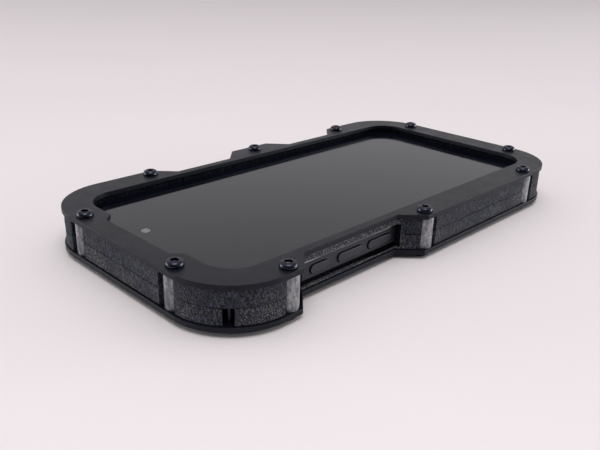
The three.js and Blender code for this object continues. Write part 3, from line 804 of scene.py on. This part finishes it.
# walls in short facets, so that no pocket or hole lies whole inside one face
device_outline = dense(rounded_rect(DEVICE_W, DEVICE_L, DEVICE_R, steps=28), DEVICE_STEP)
body = slab("device_frame_fine", [device_outline], FRAME_Z, FRAME_TOP, DEVICE_ROUND, 6)
pockets = []
for name, side, y, length in BUTTONS:
    depth = BUTTON_T - BUTTON_PROUD + BUTTON_FLOOR_GAP
    long, high = length + 2 * BUTTON_GAP, BUTTON_H + 2 * BUTTON_GAP
    pockets.append(pill(f"pocket_{name}", side, DEVICE_W / 2 + 1, y, long, high, depth + 1))
port = slab("port_cut", [rounded_rect(PORT_W, PORT_H, PORT_H / 2 - 0.001, steps=10)], 0, PORT_DEPTH + 1)
port.data.transform(Matrix.Rotation(math.pi / 2, 4, "X"))
port.data.transform(Matrix.Translation((0, (-DEVICE_L / 2 + PORT_DEPTH) * MM, BUTTON_Z * MM)))
holes = []
for x in SPEAKER_HOLE_X:
    hole = slab(f"speaker_{x:g}", [circle(0, 0, SPEAKER_HOLE_D / 2, 20)], 0, 3)
    hole.data.transform(Matrix.Rotation(math.pi / 2, 4, "X"))
    hole.data.transform(Matrix.Translation((x * MM, (-DEVICE_L / 2 + 2) * MM, BUTTON_Z * MM)))
    holes.append(hole)
body = cut(body, *pockets, port, *holes)


def frame_part(at, normal):
    """0 for the satin side, 1 for the painted highlight along its upper round, 2 for the painted shade on its
    lower round.
    """
    reach = 0.9
    if at.z > FRAME_TOP - reach and 0.03 < normal.z < 0.30:
        return 1
    return 2 if at.z < FRAME_Z + reach and normal.z < -0.03 else 0


face_materials(smooth(body), (FRAME, RIM_PAINTED_HIGHLIGHT, UNDER_PAINTED_SHADE), frame_part)
finish_piece(body, None, ROOT, ["device_frame"])

for name, side, y, length in BUTTONS:
    outer_x = DEVICE_W / 2 + BUTTON_PROUD
    made = pill(f"{name}_fine", side, outer_x, y, length, BUTTON_H, BUTTON_T, BUTTON_ROUND)
    # the buttons' flanks take the same darker edge finish, as painted shade
    face_materials(smooth(made), (BUTTON, EDGE_PAINTED_SHADE), lambda at, normal: int(abs(normal.x) < 0.55))
    finish_piece(made, None, name, [name])

glass_outline = rounded_rect(
    DEVICE_W - 2 * GLASS_REVEAL, DEVICE_L - 2 * GLASS_REVEAL, DEVICE_R - GLASS_REVEAL, steps=28)
glass = slab("display_glass_fine", [glass_outline], FRAME_TOP, GLASS_FRONT_Z, GLASS_ROUND, 4)
seat_z, above_z = GLASS_FRONT_Z - 0.3, GLASS_FRONT_Z + 1
grille_seat = rounded_rect(GRILLE_W + 0.2, GRILLE_L + 0.2, 0.45, 0, GRILLE_Y, 8)
glass = cut(
    glass,
    slab("lens_seat", [circle(*FRONT_LENS_AT, FRONT_LENS_D / 2 + 0.1)], seat_z, above_z),
    slab("grille_seat", [grille_seat], seat_z, above_z),
)
finish_piece(smooth(glass), DISPLAY, ROOT, ["display_glass"])

FR = FRONT_LENS_D / 2
front_lens = link("front_camera_lens_fine", lathe("front_camera_lens_fine", [
    (0, 0), (FR, 0), (FR, SEAT_DEPTH - 0.06), (FR - 0.06, SEAT_DEPTH), (0.63 * FR, SEAT_DEPTH),
    (0.59 * FR, SEAT_DEPTH - 0.06), (0.27 * FR, SEAT_DEPTH - 0.02), (0, SEAT_DEPTH - 0.01)], 48))
front_lens.location = (FRONT_LENS_AT[0] * MM, FRONT_LENS_AT[1] * MM, (GLASS_FRONT_Z - SEAT_DEPTH) * MM)
finish_piece(smooth(front_lens), FRONT_LENS, ROOT, ["front_camera_lens"])

grille_outline = rounded_rect(GRILLE_W, GRILLE_L, 0.35, 0, GRILLE_Y, 8)
grille = slab("earpiece_grille_fine", [grille_outline], seat_z, GLASS_FRONT_Z, 0.05, 2)
finish_piece(smooth(grille), GRILLE, ROOT, ["earpiece_grille"])

back = slab("back_glass_fine", [glass_outline], BACK_Z, BACK_Z + GLASS_T, GLASS_ROUND, 4)
# the back glass's rim takes the same painted shade as the lower round
face_materials(smooth(back), (BACK, UNDER_PAINTED_SHADE), lambda at, normal: int(abs(normal.z) < 0.98))
finish_piece(back, None, ROOT, ["back_glass"])

PLATEAU_Z = BACK_Z - CAMERA_T
plateau_outline = rounded_rect(CAMERA_W, CAMERA_L, CAMERA_R, *CAMERA_AT, steps=24)
plateau = slab("camera_plateau_fine", [plateau_outline], PLATEAU_Z, BACK_Z, CAMERA_ROUND, 5)
finish_piece(smooth(plateau), PLATEAU, ROOT, ["camera_plateau"])

LR = LENS_D / 2
for name in ("rear_lens_upper", "rear_lens_lower"):
    mesh = lathe(f"{name}_fine", [
        (0, 0.35), (2.2, 0.42), (2.3, 0.30), (LR - 2.2, 0.30), (LR - 1.6, 0.30),
        (LR - 1.25, 0.02), (LR - 1.1, 0), (LR - 0.35, 0), (LR - 0.1, 0.1), (LR, 0.32),
        (LR, LENS_T), (0, LENS_T)], 80)
    lens = link(f"{name}_fine", mesh)
    lens.location = (*(middle(name).xy * MM), (PLATEAU_Z - LENS_T) * MM)
    for material in (LENS_RING, LENS_GLASS, LENS_IRIS):
        mesh.materials.append(material)
    for face in mesh.polygons:
        r = math.hypot(face.center.x, face.center.y) / MM
        if face.center.z < 0.5 * MM and r < LR - 1.7:
            face.material_index = 2 if r < 2.25 else 1
    finish_piece(smooth(lens), None, ROOT, [name])

flash = link("flash_lens_fine", lathe("flash_lens_fine", [
    (0, 0.04), (0.7, 0), (FLASH_R - 0.25, 0), (FLASH_R - 0.08, 0.05), (FLASH_R, 0.14),
    (FLASH_R, FLASH_T), (0, FLASH_T)], 40))
flash.location = (*(middle("flash_lens").xy * MM), (PLATEAU_Z - FLASH_T) * MM)
finish_piece(smooth(flash), FLASH, ROOT, ["flash_lens"])

tongue_outline = rounded_rect(TONGUE_W, TONGUE_L, 0.3, 0, -DEVICE_L / 2 + TONGUE_INSET, 5)
tongue_low, tongue_high = BUTTON_Z - TONGUE_T / 2, BUTTON_Z + TONGUE_T / 2
tongue = slab("port_tongue_fine", [tongue_outline], tongue_low, tongue_high, 0.1, 2)
finish_piece(smooth(tongue), TONGUE, ROOT, ["port_tongue"])


# ---------------------------------------------------------------- floor and light
def floor_finish():
    m = Mat("floor_card", Specular_IOR_Level=0.2)
    base = m.blend(m.spread(m.noise(0.01, 4), 0.3, 0.7), (0.855, 0.800, 0.802, 1), (0.865, 0.810, 0.812, 1))
    return m.set(Base_Color=base, Roughness=m.spread(m.noise(0.3, 3), 0.3, 0.7, 0.7, 0.85))


floor_bm = bmesh.new()
bmesh.ops.create_grid(floor_bm, x_segments=8, y_segments=8, size=4.0)
floor_mesh = bpy.data.meshes.new("floor")
floor_bm.to_mesh(floor_mesh)
floor_bm.free()
floor = link("floor", floor_mesh)
floor.data.materials.append(floor_finish())
floor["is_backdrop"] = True

world = bpy.data.worlds.new("room")
scene.world = world
world.use_nodes = True
room = world.node_tree
background = room.nodes["Background"]
background.inputs["Color"].default_value = (0.985, 0.955, 0.985, 1)
# the room is dim on the side of the open floor in front of the near corner, and bright across from it
away = room.nodes.new("ShaderNodeVectorMath")
away.operation = "DOT_PRODUCT"
away.inputs[1].default_value = (0.70, -0.71, 0.10)
spot = room.nodes.new("ShaderNodeTexCoord")
room.links.new(spot.outputs["Generated"], away.inputs[0])
level = room.nodes.new("ShaderNodeMapRange")
level.interpolation_type = "SMOOTHSTEP"
for key, value in (("From Min", -0.95), ("From Max", 0.30), ("To Min", 0.10), ("To Max", 0.69)):
    level.inputs[key].default_value = value
room.links.new(away.outputs["Value"], level.inputs["Value"])
room.links.new(level.outputs["Result"], background.inputs["Strength"])
# whatever looks past the edge of the floor sees a plain pale wall
wall = room.nodes.new("ShaderNodeBackground")
wall.inputs["Color"].default_value = (0.80, 0.755, 0.765, 1)
path = room.nodes.new("ShaderNodeLightPath")
either = room.nodes.new("ShaderNodeMixShader")
room.links.new(path.outputs["Is Camera Ray"], either.inputs[0])
room.links.new(background.outputs["Background"], either.inputs[1])
room.links.new(wall.outputs["Background"], either.inputs[2])
room.links.new(either.outputs["Shader"], room.nodes["World Output"].inputs["Surface"])


def softbox(name, at, aim, size, power, color=(1, 1, 1)):
    data = bpy.data.lights.new(name, "AREA")
    data.shape = "RECTANGLE"
    data.size, data.size_y = size
    data.energy = power
    data.color = color
    lamp = bpy.data.objects.new(name, data)
    scene.collection.objects.link(lamp)
    lamp.location = at
    lamp.rotation_euler = (Vector(aim) - Vector(at)).to_track_quat("-Z", "Y").to_euler()
    return lamp


softbox("ceiling", (-0.22, 0.22, 1.1), (-0.12, 0.12, 0), (0.9, 0.9), 3.3, (1.0, 0.96, 0.97))
softbox("near_lamp", (-0.30, 0.30, 0.80), (-0.14, 0.14, 0), (0.45, 0.45), 1.8, (0.98, 1.0, 1.0))
softbox("left_window", (0.98, 0.86, 0.16), (0, 0, 0.02), (0.9, 0.24), 6.5, (0.95, 0.98, 1.0))
softbox("right_window", (-0.72, -1.08, 0.16), (0, 0, 0.02), (0.9, 0.24), 8.0, (0.95, 0.98, 1.0))

# ---------------------------------------------------------------- camera
EYE = Vector((-148.4, 166.3, 88.8)) * MM
AZIMUTH, ELEVATION, ROLL = math.radians(224.13), math.radians(22.57), math.radians(1.78)
back_axis = Vector((
    math.sin(AZIMUTH) * math.cos(ELEVATION), -math.cos(AZIMUTH) * math.cos(ELEVATION), math.sin(ELEVATION),
))
camera_data = bpy.data.cameras.new("camera")
camera_data.lens = 41.14
camera_data.sensor_width = 36.0
camera_data.clip_start, camera_data.clip_end = 0.01, 20
camera = bpy.data.objects.new("camera", camera_data)
scene.collection.objects.link(camera)
upright = (-back_axis).to_track_quat("-Z", "Y").to_matrix()
camera.matrix_world = Matrix.Translation(EYE) @ (upright @ Matrix.Rotation(ROLL, 3, "Z")).to_4x4()
scene.camera = camera
scene.view_settings.view_transform = "Standard"

low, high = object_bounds()
